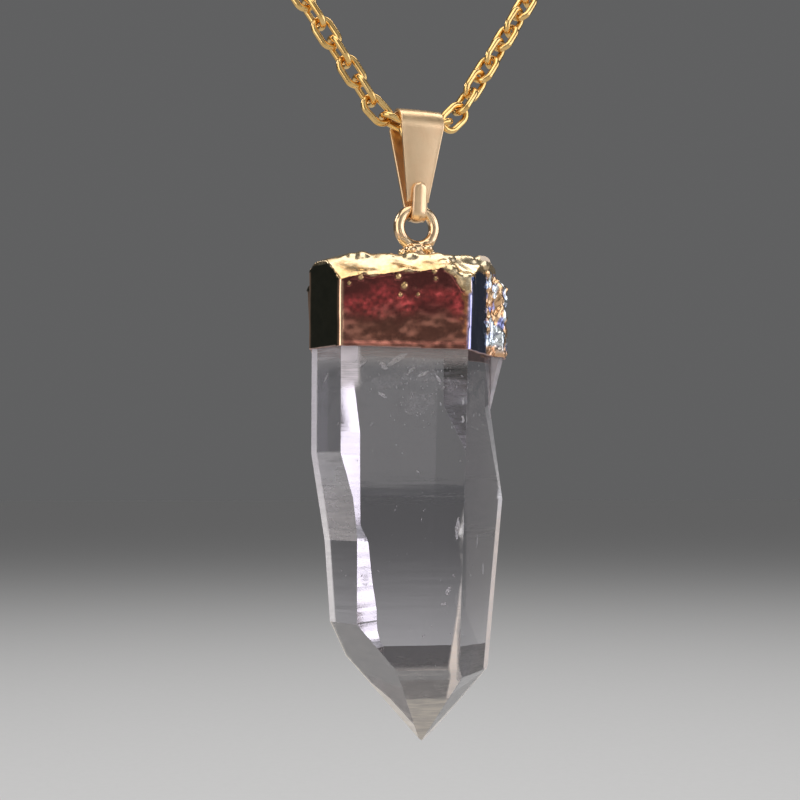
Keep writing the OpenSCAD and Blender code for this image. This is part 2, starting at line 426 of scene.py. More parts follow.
def build_bail():
    points = []
    stations, split = bail_line()
    last = len(stations) - 1
    # the strip's ends are rounded off: at the tongue's top, and over the leaf's last two stations
    thick = {0: 0.5, last: 0.55}
    narrow = {0: 0.3 * stations[0][2], last - 1: 0.02, last: 0.1}
    for i, (p, out, half) in enumerate(stations):
        if i == last - 1:
            p = LEAF_END + (p - LEAF_END) * 0.2
        crown = TONGUE_CROWN_MM if i <= split else LEAF_CROWN_MM
        for x, y in strip_ring(half - narrow.get(i, 0), SHEET_MM / 2 * thick.get(i, 1), crown):
            across, up = p + out * y
            points.append(LOW + Vector((x, across, up)) * MM)
    n = len(points) // len(stations)
    faces = tube_faces(len(stations), n, closed=False)
    faces += [range(n), range(last * n, last * n + n)[::-1]]
    mesh = mesh_from("folded_bail", points, faces)
    turn_outwards(mesh)
    return new_object("folded_bail", mesh)


def gold(name, base, dark, rough=0.2, scale=1.0, brush=0.0):
    """Plated gold: tone and roughness wander, with fine scratches and, if asked, a brushed grain."""
    shader = Shader(name, Metallic=1.0, Roughness=rough, IOR=1.45)
    cloud = shader.noise(700 * scale, 5, 0.6)
    fine = shader.noise(5200 * scale, 3, 0.6)
    tone = shader.mix(shader.ramp(cloud, ((0.35, 0.0), (0.7, 1.0))), base, dark)
    shader.put("Base_Color", tone)
    shader.put("Roughness", shader.line(fine, 0.16, rough - 0.08, clamp=True))
    normal = shader.bump(shader.line(cloud, 0.7, shader.times(fine, 0.3)), 0.00002, 0.15)
    if brush:
        grain = shader.noise(1500, 3, 0.7, shader.scaled(14, 14, 0.4))
        shader.bump(grain, 0.00002, brush, normal)
    return shader.material


# Stone: the CAD crystal with rounded edges, growth lines cut across it and frosted faces

STONE_TURN = math.radians(-12)
CAP_TOP = RING.z - 3.7 * MM
RIM_MM = -9.6
RIM = CAP_TOP + RIM_MM * MM
POINT_Z = RING.z - 52.2 * MM
AXIS = Vector((RING.x, RING.y, CAP_TOP))


def in_stone(point):
    """A point in the stone's own frame, in mm: across, back and up from the cap's top."""
    x, y, z = (point - AXIS) / MM
    c, s = math.cos(STONE_TURN), math.sin(STONE_TURN)
    return Vector((x * c + y * s, -x * s + y * c, z))


def from_stone(x, y, z):
    c, s = math.cos(STONE_TURN), math.sin(STONE_TURN)
    return AXIS + Vector((x * c - y * s, x * s + y * c, z)) * MM


def facing(normal):
    """The way a face looks in the stone's frame, in degrees: 0 is the front, 90 the right."""
    return math.degrees(math.atan2(normal.x, -normal.y) - STONE_TURN) % 360


# The stone's six sides, by the way they face
FRONT, RIGHT, BACK_RIGHT, BACK, BACK_LEFT, LEFT = range(0, 360, 60)


def near_way(way, wanted, within=25):
    return abs((way - wanted + 180) % 360 - 180) < within


def blend(a, b, t):
    return tuple(p + (q - p) * clamped(t) for p, q in zip(a, b))


LILAC = (0.86, 0.82, 0.90)
WHITE = (0.96, 0.94, 0.97)
PINK = (0.86, 0.76, 0.78)
BEIGE = (0.92, 0.80, 0.72)
# Painted reflection of the cap, seen in the stone's tip
CAP_REFLECTION_STRAW = (0.76, 0.67, 0.54)
DUSK = (0.46, 0.40, 0.34)
# Painted glow: the cap's back seen through the stone, under the rim
RIM_GLOW_BROWN = (0.34, 0.235, 0.18)
# Painted highlight along the point's outlines
OUTLINE_HIGHLIGHT = (0.95, 0.88, 0.80)
HAZY = (0.66, 0.63, 0.71)
# Painted light: the pale strip refracted from the back-left face, at the front's upper left
STRIP_LIGHT_MAUVE = (0.88, 0.80, 0.87)

# Heights on the stone in mm: the left growth layer's slope, the right layer's foot, the top of the
# steps behind the left, and where the rough strip widens. Then the height of a growth step.
LAYER_TOP = -19.8
LAYER_LOW = -28.3
RIGHT_FOOT = -24
STEPS_TOP = -28
STRIP_PATCH = -32.5
BAND_MM = 1.75

# Where the stone ends at the left and right, and the planes of its back and front faces, in mm
LEFTMOST, RIGHTMOST = -10.7, 9.4
BACK_FACE_Y, FRONT_FACE_Y = 6.41, -7.19

# Ways across the front, and backwards along the left and right faces
ACROSS = (1, 0, 0)
LEFT_ALONG = (-0.5, 0.866, 0)
RIGHT_ALONG = (0.5, 0.866, 0)

# On the left and right faces: how far back the face reaches, measured along it
LEFT_REACH = [
    # up, reach in mm
    (-36.2, 1.70), (-28.3, 2.68), (-19.8, 3.02),
]
RIGHT_REACH = [
    # up, reach in mm
    (-41.2, 3.94), (-24.3, 7.69),
]

# Along the front face's right edge: the rough strip from its upper wisp to the point
ROUGH_STRIP = [
    # up, left border, right border in mm, strength
    (-44.6, 2.03, 3.5, 0.3), (-43.0, 2.05, 3.5, 0.9), (-41.5, 2.18, 3.1, 0.95), (-40.7, 1.95, 2.95, 0.95),
    (-40.3, 1.88, 2.95, 0.95), (-35.9, 2.62, 3.16, 0.9), (-33.0, 2.98, 3.3, 0.6), (-31.5, 3.2, 3.45, 0.25),
    (-30.2, 3.1, 3.6, 0.3), (-27.7, 2.9, 3.6, 0.55), (-25.9, 3.24, 3.6, 0.35), (-24.8, 3.5, 3.6, 0.0),
]

# How far the stone's edges stand off the CAD's straight ones, along the front and back faces
BACK_EDGE = [
    # up, across in mm, shift in mm
    (-39.3, -3.14, 0.0), (-38.6, -3.22, -0.38), (-37.6, -3.35, -0.51), (-35.6, -3.6, -0.32),
    (-32.5, -3.98, -0.41), (-28.8, -4.44, -0.34), (-28.4, -4.5, -0.4), (-27.0, -4.68, -0.91),
    (-24.4, -5.03, -0.60), (-21.3, -5.45, -0.19), (-19.8, -5.65, 0.0), (-9.6, -5.65, 0.0),
]
FRONT_EDGE = [
    # up, across in mm, shift in mm
    (-28.3, -6.89, 0.0), (-27.2, -7.09, 0.14), (-25.3, -7.45, 0.30), (-24.1, -7.69, 0.39),
    (-23.1, -7.87, 0.28), (-22.0, -8.08, 0.21), (-21.0, -8.28, 0.10), (-19.8, -8.5, 0.0),
]

# On the point's left and right facets: how far across the outline lies, and how wide its pale margin is; the
# margin's milky pale tint is a painted highlight along the outline
LEFT_OUTLINE = [
    # up, across, width in mm
    (-48.3, 0.1, 0.95), (-44.0, -3.67, 0.8), (-42.5, -5.0, 0.32), (-39.8, -7.35, 0.24), (-36.2, -9.13, 0.24),
]
RIGHT_OUTLINE = [
    # up, across, width in mm
    (-48.4, 0.54, 1.0), (-47.3, 1.92, 0.8), (-45.0, 3.98, 0.4), (-41.4, 7.25, 0.3),
]

# Widths of the pale margins on the left and right faces, and of a margin's soft border
MARGIN_MM = 1.05
RIGHT_MARGIN_MM = 1.5
SOFT_MM = 0.22

# How the stone's mesh is cut: its rounded edges, the least and most that a slice adds, the upright cuts
ROUNDED_MM = 0.12
SLICE_MM = (0.16, 0.38)
UPRIGHT_MM = 0.42


def noise_at(x, y, z, scale, shift=0):
    return noise.noise((x * scale, y * scale, z * scale + shift))


def table_at(rows, at, column=1):
    """Straight lines between the rows of a table whose first column rises."""
    return float(np.interp(at, [row[0] for row in rows], [row[column] for row in rows]))


def fade(t):
    t = clamped(t)
    return t * t * (3 - 2 * t)


def border(inside_mm):
    """0 on a pale strip's border, and 1 from SOFT_MM inside it on."""
    return fade(inside_mm / SOFT_MM)


def band_at(z):
    """How far up its growth step a height lies, from 0 to 1."""
    return (z / BAND_MM + 0.35 * noise.noise((0.3, 0.7, z * 0.4))) % 1.0


def is_worn_and_highlit_edge(n):
    """Whether a narrow face is one of the stone's rounded edges."""
    off = abs((facing(n) + 30) % 60 - 30)
    return (off > 9 and n.z < 0.3) or -0.5 < n.z < -0.28 or n.z < -0.8


def on_side_crystal(n, x, z):
    """Whether a face is one of the small crystal's, grown on the right side."""
    return x > 6.5 and z > -16 and not (near_way(facing(n), RIGHT, 8) and abs(n.z + 0.03) < 0.06)


def growth_depth(n, x, z):
    """The depth of the growth lines cut across a face, in mm."""
    way = facing(n)
    if on_side_crystal(n, x, z):
        return 0.012
    if n.z < -0.3 or n.z > 0.5:
        return 0.001
    if near_way(way, BACK_LEFT):
        return 0.008 if z > STEPS_TOP else 0.012
    if near_way(way, LEFT):
        return 0.008 if -n.z > 0.08 else 0.003
    if near_way(way, BACK_RIGHT):
        return 0.010
    return 0.0012


def point_look(way, x, z, rough):
    """The skin of the point's own facets: frost, milkiness and tint, with a painted highlight along their
    outlines and a painted reflection of the cap at the tip.
    """
    if near_way(way, LEFT, 30):
        out = x - table_at(LEFT_OUTLINE, z)
        # the pale margin is a painted highlight: light reflected inside the stone along its outline, painted
        # milky and pale
        pale = border(table_at(LEFT_OUTLINE, z, 2) - out)
        return 0.14 + 0.5 * pale, 0.22 + 0.06 * rough + 0.66 * pale, blend(DUSK, OUTLINE_HIGHLIGHT, pale)
    if near_way(way, RIGHT, 30):
        out = table_at(RIGHT_OUTLINE, z) - x
        # the same painted highlight along the right outline
        pale = border(table_at(RIGHT_OUTLINE, z, 2) - out)
        return 0.1 + 0.5 * pale, 0.16 + 0.7 * pale, blend(DUSK, OUTLINE_HIGHLIGHT, pale)
    # painted reflection: the tip's facets are painted milky straw for the cap seen reflected down the length
    # of the stone
    tip = fade((-43.6 - z) / 0.2)
    line = fade(1 - abs(z + 41.0) / 0.13)
    milk = 0.26 + 0.08 * rough + 0.30 * tip + 0.25 * line
    return 0.15 + 0.2 * tip, milk, blend(blend(DUSK, CAP_REFLECTION_STRAW, tip), BEIGE, line)


def front_look(x, z, rough):
    """The front face: milky under the rim and at its upper left, where the milky tint is painted light, and
    clear below.
    """
    # painted light: a milky brown band under the rim stands for the cap's back seen through the stone
    rim = fade((z + 11.7) / 1.5)
    # painted light: a milky mauve patch at the upper left stands for the pale strip refracted from the
    # back-left face
    strip_top = fade((-6.5 - x) / 0.3) * fade((z + 14.0) / 1.3)
    line = 0.4 * fade((-40.35 - z) / 0.15)
    frost = 0.01 + 0.22 * rim + 0.35 * strip_top + 0.2 * line
    milk = max(0.32 * rim, 0.72 * strip_top * (1 + 0.3 * rough), line)
    return frost, milk, blend(blend(RIM_GLOW_BROWN, BEIGE, line), STRIP_LIGHT_MAUVE, strip_top)


def left_look(x, y, z, fine):
    """The left face: its frosted growth layer, the haze under the rim and the pale margin behind."""
    reach = table_at(LEFT_REACH, z) - (LEFT_ALONG[0] * x + LEFT_ALONG[1] * y)
    pale = border(MARGIN_MM - reach)
    if LAYER_LOW < z < LAYER_TOP:
        frost, milk, tint = 0.5 + 0.1 * fine, 0.27 + 0.12 * fine, blend(LILAC, PINK, (-z - 22) / 3)
    else:
        under_rim = fade((z + 12.2) / 2.4)
        frost, milk, tint = 0.05 + 0.3 * under_rim, 0.02 + 0.3 * under_rim, LILAC
    pale_tint = blend(HAZY, WHITE, (-z - 18) / 9)
    return max(frost, 0.7 * pale), max(milk, 0.9 * pale), blend(tint, pale_tint, pale)


def right_look(x, y, z):
    """The right face: clear, with a pale margin behind its lower part."""
    reach = table_at(RIGHT_REACH, z) - (RIGHT_ALONG[0] * x + RIGHT_ALONG[1] * y)
    pale = border(RIGHT_MARGIN_MM - reach) * fade((-22.6 - z) / 1.4)
    return 0.02 + 0.6 * pale, 0.9 * pale, blend(WHITE, BEIGE, (RIGHT_FOOT - z) / 3)


def back_left_look(z, fine):
    """The back left face: faintly frosted above, and with growth steps below."""
    if z > STEPS_TOP:
        return 0.16 + 0.1 * fine, 0.03, LILAC
    return (0.12 if band_at(z) < 0.72 else 0.34), 0.05, blend(WHITE, LILAC, (-38 - z) / 4)


def with_strip(look, x, z, rough):
    """A look of the front with the rough strip laid over it."""
    frost, milk, tint = look
    left, right = table_at(ROUGH_STRIP, z, 1), table_at(ROUGH_STRIP, z, 2)
    inside = border(x - left) * fade((right - x) / 0.18 + 0.4)
    broken = 1 if z < STRIP_PATCH else 0.8 + 1.5 * rough
    strip = clamped(inside * table_at(ROUGH_STRIP, z, 3) * broken)
    tint = blend(tint, blend(WHITE, BEIGE, (-31 - z) / 4), 2 * strip)
    return max(frost, 0.7 * strip), max(milk, 0.95 * strip), tint


def stone_look(n, x, y, z):
    """The stone's skin at a point of a face with this normal: frost, milkiness and tint."""
    way = facing(n)
    rough = noise_at(x, y, z, 1.3, 60)
    fine = noise.noise((0.1, 0.2, (z + 0.17 * x) * 3.1))
    if on_side_crystal(n, x, z):
        return 0.6, 0.40 + 0.2 * rough, PINK
    if n.z > 0.5:
        return 0.5, 0.3, LILAC
    # the rounded edges are frosted and milky white: partly wear, partly a painted highlight for the pale
    # lines that light reflected inside the stone draws along them
    if is_worn_and_highlit_edge(n):
        return 0.45, 0.42 + 0.3 * rough, WHITE
    if n.z < -0.3:
        look = point_look(way, x, z, rough)
    elif near_way(way, BACK_LEFT):
        look = back_left_look(z, fine)
    elif near_way(way, LEFT):
        look = left_look(x, y, z, fine)
    elif near_way(way, RIGHT):
        look = right_look(x, y, z)
    elif near_way(way, BACK_RIGHT):
        look = (0.5, 0.5, BEIGE) if z < RIGHT_FOOT else (0.08, 0.03, LILAC)
    elif near_way(way, BACK):
        look = (0.015, 0.0, LILAC)
    else:
        look = front_look(x, z, rough)
    if near_way(way, FRONT) and z > ROUGH_STRIP[0][0]:
        look = with_strip(look, x, z, rough)
    return look


def shift_edge(work, rows, face_y):
    """Moves a long upright edge along the face it borders, to the rows of its table."""
    for vert in work.verts:
        x, y, z = in_stone(vert.co)
        if rows[0][0] < z < rows[-1][0] and abs(y - face_y) < 0.3 and abs(x - table_at(rows, z)) < 0.3:
            shift = table_at(rows, z, 2)
            vert.co += from_stone(shift, 0, 0) - AXIS


def stone_way(x, y, z):
    """A way in the stone's frame, as a unit vector in the CAD's."""
    return (from_stone(x, y, z) - AXIS).normalized()


def bisect(work, geometry, place, normal, **settings):
    return bmesh.ops.bisect_plane(work, geom=geometry, dist=1e-7, plane_co=place, plane_no=normal, **settings)


def all_of(work):
    return list(work.verts) + list(work.edges) + list(work.faces)


def cut_line(work, rows, across, way, point=False):
    """Cuts the faces that look one way along a line: rows of up and across, for exact borders."""
    for (low, start), (high, end) in zip(rows, rows[1:]):
        faces = []
        for face in work.faces:
            at = in_stone(face.calc_center_median()).z
            if low < at < high and near_way(facing(face.normal), way, 9) and (face.normal.z < -0.5) == point:
                faces.append(face)
        edges = {e for f in faces for e in f.edges}
        verts = {v for f in faces for v in f.verts}
        normal = Vector(across) - Vector((0, 0, (end - start) / (high - low)))
        place = Vector(across) * start + Vector((0, 0, low))
        bisect(work, faces + list(edges) + list(verts), from_stone(*place), stone_way(*normal))


def cut_borders(work):
    """Cuts both sides of each slanting border of the stone's pale strips and margins."""
    for soft in (0, SOFT_MM):
        strip = [(row[0], row[1] + soft) for row in ROUGH_STRIP]
        cut_line(work, strip, ACROSS, FRONT)
        cut_line(work, strip, ACROSS, FRONT, True)
        left = [(up, reach - MARGIN_MM + soft) for up, reach in LEFT_REACH]
        cut_line(work, left + [(-9.0, left[-1][1])], LEFT_ALONG, LEFT)
        right = [(up, reach - RIGHT_MARGIN_MM + soft) for up, reach in RIGHT_REACH]
        cut_line(work, right, RIGHT_ALONG, RIGHT)
        outline = [(up, across + width - soft) for up, across, width in LEFT_OUTLINE]
        cut_line(work, outline, ACROSS, LEFT, True)
        outline = [(up, across - width + soft) for up, across, width in RIGHT_OUTLINE]
        cut_line(work, outline, ACROSS, RIGHT, True)


def move_all(moves):
    """Moves points only after all the moves are worked out."""
    for vert, move in moves:
        vert.co += move


def plain_stone():
    """The CAD crystal as a bmesh, with one face to each plane."""
    work = welded(NODES["crystal"].data)
    bmesh.ops.dissolve_limit(work, angle_limit=math.radians(0.3), verts=work.verts, edges=work.edges)
    return work


def build_stone():
    rng = random.Random(4)
    work = plain_stone()
    bmesh.ops.bevel(work, geom=list(work.edges), offset=ROUNDED_MM * MM, segments=2, profile=0.6,
                    affect="EDGES", clamp_overlap=True)
    z = RIM + 1 * MM
    while z > POINT_Z:
        bisect(work, all_of(work), (0, 0, z), (0, 0, 1))
        z -= (SLICE_MM[0] + (SLICE_MM[1] - SLICE_MM[0]) * rng.random()) * MM
    shift_edge(work, BACK_EDGE, BACK_FACE_Y)
    shift_edge(work, FRONT_EDGE, FRONT_FACE_Y)
    x = LEFTMOST
    while x < RIGHTMOST:
        bisect(work, all_of(work), from_stone(x, 0, 0), stone_way(*ACROSS))
        x += UPRIGHT_MM
    work.normal_update()
    cut_borders(work)
    work.normal_update()
    moves = []
    for vert in work.verts:
        way = Vector((vert.normal.x, vert.normal.y, 0))
        if vert.co.z > RIM or way.length < 1e-6:
            continue
        x, y, z = in_stone(vert.co)
        area = sum(f.calc_area() for f in vert.link_faces)
        depth = sum(growth_depth(f.normal, x, z) * f.calc_area() for f in vert.link_faces) / area
        lines = noise.noise((x * 0.12, y * 0.12, z * 2.3))
        lines += 0.6 * noise.noise((x * 0.2, y * 0.2, z * 5.1 + 40))
        if depth > 0.011 and x < 0:
            lines += 1.2 * (band_at(z) - 0.5)
        moves.append((vert, way.normalized() * depth * lines * MM))
    looks = [stone_look(face.normal, *in_stone(v.co)) for face in work.faces for v in face.verts]
    move_all(moves)
    piece = object_from("quartz_point", work)
    mesh = piece.data
    store(mesh, "frost", "FLOAT", "CORNER", [frost for frost, milk, tint in looks])
    store(mesh, "milk", "FLOAT", "CORNER", [milk for frost, milk, tint in looks])
    store(mesh, "tint", "FLOAT_COLOR", "CORNER", [c for frost, milk, tint in looks for c in (*tint, 1.0)])
    return piece


def store(mesh, name, kind, domain, values):
    """Keeps a value or a colour on every point or corner, for the material to read."""
    attribute = mesh.attributes.new(name, kind, domain)
    attribute.data.foreach_set("color" if "COLOR" in kind else "value", values)


def quartz_material():
    shader = Shader("quartz", IOR=1.544)
    frost = shader.attribute("frost")
    milk = shader.attribute("milk")
    tint = shader.attribute("tint", "Color")
    cloud = shader.noise(160, 4, 0.6)
    # faint frost is patchy and full frost is even
    thin = shader.times(frost, shader.line(cloud, 1.3, 0.3))
    patch = shader.math("MINIMUM", shader.math("MAXIMUM", thin, shader.times(frost, 0.8)), 1.0)
    lines = shader.noise(420, 4, 0.65, shader.scaled(1, 1, 16))
    streak = shader.times(milk, shader.times(lines, 1.8))
    skin = shader.math("MINIMUM", shader.math("MAXIMUM", streak, shader.math("SUBTRACT", milk, 0.2)), 0.93)
    skin = shader.math("MAXIMUM", skin, 0.0)
    shader.put("Base_Color", shader.mix(shader.math("POWER", skin, 0.6), (0.97, 0.965, 0.98), tint))
    shader.put("Roughness", shader.line(patch, 0.55, 0.004))
    shader.put("Transmission_Weight", shader.math("SUBTRACT", 1.0, skin))
    wave = shader.noise(90, 2, 0.4, shader.scaled(1, 1, 3))
    height = shader.line(lines, shader.math("ADD", patch, 0.012), shader.times(wave, 0.05))
    shader.bump(height, 0.00006, 0.5)
    absorb = shader.add("ShaderNodeVolumeAbsorption", {"Color": (0.60, 0.575, 0.63, 1), "Density": 46.0})
    shader.feed(shader.tree.nodes["Material Output"].inputs["Volume"], absorb.outputs[0])
    return shader.material


# Veils inside the stone: thin crumpled closed flakes, placed in the stone's frame

HAZES = [
    # across, back and up in mm, length, width, lean of its length, turn about upright
    (-0.6, -3.2, -11.6, 6.5, 2.8, 4, 12),
    (2.2, -2.6, -12.8, 3.6, 2.2, -12, -24),
    (-3.6, -2.4, -12.6, 4.2, 2.2, 16, -10),
    (-6.6, -3.6, -12.0, 2.6, 3.0, 20, 30),
    (-0.4, -1.0, -14.6, 5.0, 3.0, 20, -12),
    (3.2, -5.4, -34.0, 2.4, 1.0, 80, 24),
]

VEILS = [
    # across, back and up in mm, length, width, lean of its length, turn about upright
    (-2.9, -5.9, -10.6, 3.2, 0.8, 32, 10),
    (-4.2, -5.8, -11.3, 1.3, 0.7, -50, -20),
    (-4.3, -5.4, -14.1, 1.3, 0.5, -35, 15),
    (-0.3, -5.6, -12.0, 1.6, 0.45, 25, -15),
    (1.2, -5.5, -12.4, 1.5, 0.4, -55, 20),
    (-1.4, -5.2, -11.6, 1.3, 0.5, 40, 30),
    (-6.5, -5.7, -10.9, 1.8, 1.2, 60, 25),
    (-8.9, -3.4, -12.3, 1.7, 0.3, 50, -60),
    (3.55, -6.6, -14.7, 0.9, 0.4, 85, 40),
    (3.55, -6.6, -16.5, 1.0, 0.45, 80, 40),
    (3.0, -6.3, -27.2, 3.0, 0.7, 84, 30),
    (2.1, -5.9, -33.2, 1.2, 0.8, 60, 20),
    (1.6, -6.2, -34.4, 0.9, 0.35, 10, 10),
    (6.3, -1.2, -31.4, 1.6, 0.5, 88, 58),
    (5.2, -2.6, -28.4, 2.0, 0.35, 80, 58),
]

# Cells along a veil's sheet, its thickness, and the share of it that its rim has
VEIL_CELLS = 18
VEIL_MM = 0.012
VEIL_RIM = 0.15


def spun(turn, lean):
    return Matrix.Rotation(turn, 3, "Z") @ Matrix.Rotation(lean, 3, "Y")


def veil_rows(rng, place, length, width, lean, turn):
    """A grid of points over a ragged, crumpled sheet."""
    spin = spun(math.radians(turn), math.radians(-lean))
    seed = rng.random() * 50
    steps = [2 * i / VEIL_CELLS - 1 for i in range(VEIL_CELLS + 1)]
    rows = []
    for across in steps:
        row = []
        for along in steps:
            u, v = across, along
            reach = math.hypot(u, v)
            a = math.atan2(v, u)
            ragged = 0.7 + 0.34 * noise.noise((math.cos(a) * 1.9 + seed, math.sin(a) * 1.9, 3))
            square = max(abs(u), abs(v))
            if reach > 1e-6:
                u, v = u / reach * square * ragged, v / reach * square * ragged
            bend = 0.35 * noise.noise((u * 1.5 + seed, v * 1.5, 1))
            lift = bend + 0.1 * noise.noise((u * 6, v * 6 + seed, 2))
            sheet = Vector((u * length / 2, lift * width, v * width / 2 + bend * width * u))
            row.append(Vector(place) + spin @ sheet)
        rows.append(row)
    return rows


def add_veil(points, faces, rows):
    """Both skins of a sheet, thin at its rim, and the wall that joins them there."""
    sheet = np.array([[tuple(p) for p in row] for row in rows])
    n = len(sheet)
    normals = np.cross(np.gradient(sheet, axis=0), np.gradient(sheet, axis=1))
    normals /= np.linalg.norm(normals, axis=2, keepdims=True)
    thick = np.full((n, n, 1), VEIL_MM)
    thick[[0, -1]] *= VEIL_RIM
    thick[1:-1, [0, -1]] *= VEIL_RIM
    base = len(points)
    for side in (1, -1):
        points += [from_stone(*p) for p in (sheet + normals * side * thick / 2).reshape(-1, 3)]
    for i in range(n - 1):
        for k in range(n - 1):
            a = base + i * n + k
            quad = (a, a + n, a + n + 1, a + 1)
            faces += [quad, tuple(n * n + v for v in quad[::-1])]
    rim = [*range(0, n * n, n), *range(n * n - n + 1, n * n)]
    rim += [*range(n * n - n - 1, n - 2, -n), *range(n - 2, 0, -1)]
    for a, b in zip(rim, rim[1:] + rim[:1]):
        faces.append((base + a, base + a + n * n, base + b + n * n, base + b))


def build_veils(name, rows, seed):
    rng = random.Random(seed)
    points, faces = [], []
    for x, y, z, length, width, lean, turn in rows:
        add_veil(points, faces, veil_rows(rng, (x, y, z), length, width, lean, turn))
    return new_object(name, mesh_from(name, points, faces))


FLECKS = 150
FLECKS_NEAR_CAP = 95


def build_flecks():
    """Tiny ragged flakes, many near the cap and fewer below."""
    rng = random.Random(21)
    points, faces = [], []
    for k in range(FLECKS):
        near_cap = k < FLECKS_NEAR_CAP
        z = -10.3 - (7 * rng.random() ** 1.2 if near_cap else 32 * rng.random())
        x = rng.gauss(0.4, 2.2) if near_cap else rng.uniform(-6.5, 5.5)
        y = rng.uniform(-5.5, 3.0)
        size = rng.uniform(0.05, 0.17)
        long = size * rng.uniform(1, 3)
        spin = spun(rng.uniform(0, 6.28), rng.uniform(-1.4, 1.4))
        base = len(points)
        outline = [(math.cos(t) * (0.5 + 0.9 * rng.random()), math.sin(t) * (0.5 + 0.9 * rng.random()))
                   for t in turns(7)]
        flake = [(u * size / 2, 0, v * long / 2) for u, v in outline] + [(0, 0.02, 0), (0, -0.02, 0)]
        points += [from_stone(*(Vector((x, y, z)) + spin @ Vector(p))) for p in flake]
        n = len(outline)
        for i in range(n):
            a, b = base + i, base + (i + 1) % n
            faces += [(a, b, base + n), (b, a, base + n + 1)]
    return new_object("stone_flecks", mesh_from("stone_flecks", points, faces, smooth=False))


def veil_material(name, scale, stops):
    """A white skin that noise breaks up into wisps."""
    shader = Shader(name, Base_Color=(0.97, 0.95, 0.98), Roughness=0.5)
    wisp = shader.noise(scale, 6, 0.72, distortion=1.6)
    shader.put("Alpha", shader.ramp(wisp, stops))
    return shader.material


# Cap: the stone grown by the plating, with lumps along its top edges, cut at the rim

PLATE_MM = 0.29
CAP_WITHIN = 28
INSIDE_MM = 0.015
CAP_VOXEL_MM = 0.145
RIM_TILT = math.radians(1)
RIM_NORMAL = stone_way(math.sin(RIM_TILT), 0, math.cos(RIM_TILT))

# Share of the places along the top edges that carry a lump, and the lumps' radii in mm
LUMP_SHARE = 0.085
LUMP_MM = (0.6, 1.1)

# On the front face: how far down the pale band of thick plating reaches
BAND_EDGE = [
    # across, up in mm
    (-8.1, -1.95), (-6.6, -2.2), (-5.35, -2.65), (-4.3, -2.2), (-3.5, -1.8), (-2.6, -1.95), (-1.45, -2.2),
    (-0.9, -1.75), (-0.3, -1.45), (0.85, -1.45), (1.7, -1.9), (2.6, -2.5), (3.15, -3.4), (3.7, -4.1),
    (5.2, -4.1),
]

# On the front face: beads of gold that stand out of the plating
SPECKS = [
    # across, up, radius in mm
    (-2.95, -2.6, 0.3), (-2.35, -3.5, 0.34), (-2.75, -4.4, 0.2), (-1.0, -4.35, 0.18),
    (-6.6, -2.75, 0.28), (-7.75, -3.4, 0.16), (0.65, -2.0, 0.26), (0.75, -2.75, 0.2),
]

# On the front face: clouds of red in the plating
RED_CLOUDS = [
    # across, up, half width, half height in mm, strength
    (-7.0, -5.3, 1.7, 0.7, 0.9), (-4.3, -4.2, 1.2, 1.0, 1.0), (-2.1, -5.3, 0.8, 0.8, 1.0),
    (0.9, -4.4, 1.5, 0.75, 0.65), (3.0, -5.0, 0.75, 1.1, 1.2), (-5.6, -6.3, 1.6, 0.5, 0.4),
]

# Painted highlight: the pale band turns this cream towards its top
CREAM_HIGHLIGHT = (0.92, 0.78, 0.52)
GOLD = (0.82, 0.56, 0.27)
DARK_RED = (0.20, 0.065, 0.058)
RED = (0.92, 0.15, 0.15)
BROWN = (0.26, 0.115, 0.085)
ORANGE = (0.60, 0.26, 0.12)
# Painted highlight: the thin rosy line along the cap's rim
ROSY_RIM_HIGHLIGHT = (0.66, 0.26, 0.20)
# Painted highlights: the lamps' reflections along the cap's upright edges, peach at the left and lavender at
# the right
PEACH_EDGE_HIGHLIGHT = (0.97, 0.62, 0.42)
LAVENDER_EDGE_HIGHLIGHT = (0.55, 0.55, 0.9)
# Painted highlight and shade on the crinkled plating: silver on the fold crests, steel blue down in the folds
FOLD_SHADE_BLUE = (0.25, 0.27, 0.5)
CREST_HIGHLIGHT_SILVER = (0.85, 0.93, 0.95)
COPPER = (0.9, 0.58, 0.32)
DULL_COPPER = (0.78, 0.48, 0.28)
INNER_WALL = (0.46, 0.31, 0.28)
INNER_TOP = (0.80, 0.68, 0.54)

# The plating's tone on each side of the stone
SIDE_TONES = {
    FRONT: DARK_RED,
    RIGHT: (0.06, 0.085, 0.19),
    BACK_RIGHT: (0.20, 0.11, 0.07),
    BACK: (0.22, 0.085, 0.06),
    BACK_LEFT: (0.15, 0.10, 0.055),
    LEFT: (0.085, 0.088, 0.06),
}


def grown_stone(reach):
    """The CAD crystal with its planes moved outwards by reach in mm, as a bmesh."""
    work = plain_stone()
    moves = []
    for vert in work.verts:
        normals = np.array([tuple(f.normal) for f in vert.link_faces])
        move = Vector(np.linalg.lstsq(normals, np.full(len(normals), reach * MM), rcond=None)[0])
        if move.length < 4 * abs(reach) * MM:
            moves.append((vert, move))
    move_all(moves)
    work.normal_update()
    return work


def cut_below_rim(work, drop=0):
    """Takes away all that lies more than drop in mm below the rim. Gives the new border's edges."""
    place = from_stone(0, 0, RIM_MM) - RIM_NORMAL * drop * MM
    cut = bisect(work, all_of(work), place, -RIM_NORMAL, clear_outer=True)["geom_cut"]
    return [e for e in cut if isinstance(e, bmesh.types.BMEdge)]


def cap_edges():
    """Points along the grown stone's sharp edges above the rim: place, whether on the top, way in."""
    work = grown_stone(PLATE_MM)
    cut_below_rim(work)
    points = []
    for edge in work.edges:
        if len(edge.link_faces) != 2 or edge.calc_face_angle(0) < math.radians(14):
            continue
        a, b = edge.verts[0].co, edge.verts[1].co
        steps = max(1, int((b - a).length / (0.15 * MM)))
        high = max(f.normal.z for f in edge.link_faces) > 0.3
        inward = -(edge.link_faces[0].normal + edge.link_faces[1].normal).normalized()
        for k in range(steps + 1):
            points.append((a.lerp(b, k / steps), high, inward))
    work.free()
    return points


